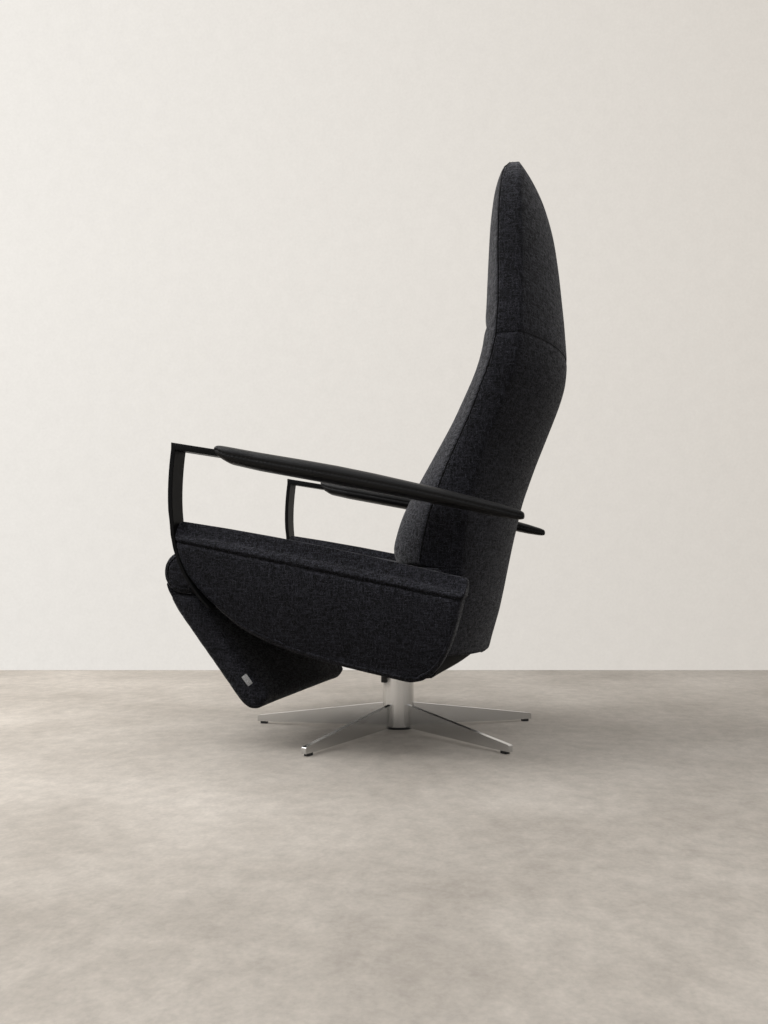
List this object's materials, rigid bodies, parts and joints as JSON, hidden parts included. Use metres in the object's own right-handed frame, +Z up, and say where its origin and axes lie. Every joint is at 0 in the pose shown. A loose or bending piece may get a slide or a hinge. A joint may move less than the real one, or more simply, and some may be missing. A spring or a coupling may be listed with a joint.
{
  "type": "swivel recliner",
  "caption": "High-backed upholstered recliner on a star base that swivels, with a tilting headrest, slim padded arms and a footrest that swings out.",
  "frame": {"origin": "on the floor, in the middle of the chair's width and depth", "axes": "+Z up, -Y towards the front of the chair, +X towards the sitter's left"},
  "size_m": [0.6688, 0.7654, 1.128],
  "materials": {
    "brushed_steel": "brushed",
    "black_plastic": "moulded",
    "bush_plastic": "moulded",
    "bright_steel": "turned",
    "grey_steel": "powder coated",
    "webbing": "woven",
    "charcoal_fabric": "melange weave",
    "plywood": "sanded",
    "black_blade": "satin powder coat",
    "black_leather": "smooth, soft sheen",
    "black_lining": "matt",
    "black_enamel": "semi-gloss"
  },
  "bodies": {
    "base": {"leg_1": "brushed_steel", "leg_2": "brushed_steel", "leg_3": "brushed_steel", "leg_4": "brushed_steel", "leg_5": "brushed_steel", "floor_glides": "black_plastic", "column_tube": "brushed_steel", "column_foot": "black_plastic", "lower_bush": "bush_plastic", "upper_bush": "bush_plastic", "thrust_washer": "bright_steel"},
    "seat": {"swivel_spindle": "bright_steel", "spindle_clip": "bright_steel", "mechanism_plate": "grey_steel", "mechanism_bolts": "bright_steel", "cradle_plates": "grey_steel", "front_cross_tube": "grey_steel", "rear_cross_tube": "grey_steel", "seat_rail_left": "grey_steel", "seat_rail_right": "grey_steel", "seat_webbing": "webbing", "seat_cushion": "charcoal_fabric", "seat_roll": "charcoal_fabric", "roll_tube": "grey_steel", "footrest_pins": "bright_steel", "side_panel_left": "charcoal_fabric", "side_panel_right": "charcoal_fabric", "panel_core_left": "plywood", "panel_core_right": "plywood", "panel_spacers": "grey_steel", "arm_blade_left": "black_blade", "arm_blade_right": "black_blade", "arm_pad_left": "black_leather", "arm_pad_right": "black_leather", "bottom_shell": "black_lining", "recline_brackets": "grey_steel", "recline_pins": "bright_steel", "footrest_brackets": "grey_steel", "gas_spring_bracket": "grey_steel", "gas_spring_cylinder": "black_enamel", "lever_bracket": "grey_steel"},
    "backrest": {"back_frame_left": "grey_steel", "back_frame_right": "grey_steel", "back_torque_tube": "grey_steel", "back_cross_bars": "grey_steel", "back_webbing": "webbing", "back_pad": "charcoal_fabric", "back_rear_cover": "charcoal_fabric", "headrest_bracket": "grey_steel"},
    "headrest": {"headrest_cushion": "charcoal_fabric", "headrest_plate": "grey_steel", "headrest_pin": "bright_steel"},
    "footrest": {"footrest_pad": "charcoal_fabric", "footrest_board": "black_lining", "footrest_lugs": "grey_steel"},
    "spring_rod": {"gas_spring_rod": "bright_steel"},
    "lever": {"release_lever": "grey_steel", "lever_knob": "black_plastic"}
  },
  "joints": [
    {"name": "swivel", "type": "hinge", "parent": "base", "child": "seat", "pos_m": [0, 0.028, 0.19], "axis": [0, 0, 1], "continuous": true},
    {"name": "recline", "type": "hinge", "parent": "seat", "child": "backrest", "pos_m": [0, 0.168, 0.29], "axis": [-1, 0, 0], "range_deg": [0, 32]},
    {"name": "headrest_tilt", "type": "hinge", "parent": "backrest", "child": "headrest", "pos_m": [0, 0.25, 0.8], "axis": [1, 0, 0], "range_deg": [0, 25]},
    {"name": "footrest_swing", "type": "hinge", "parent": "seat", "child": "footrest", "pos_m": [0, -0.342, 0.3355], "axis": [-1, 0, 0], "range_deg": [0, 120]},
    {"name": "spring_stroke", "type": "slide", "parent": "seat", "child": "spring_rod", "axis": [0, -1, 0], "range_m": [0, 0.0268]},
    {"name": "lever_pull", "type": "hinge", "parent": "seat", "child": "lever", "pos_m": [0.2055, 0.049, 0.198], "axis": [0, -1, 0], "range_deg": [0, 12], "stiffness_Nm_per_rad": 0.5}
  ],
  "couplings": [
    {"joint": "spring_stroke", "follows": "recline", "m_per_rad": 0.04723}
  ]
}
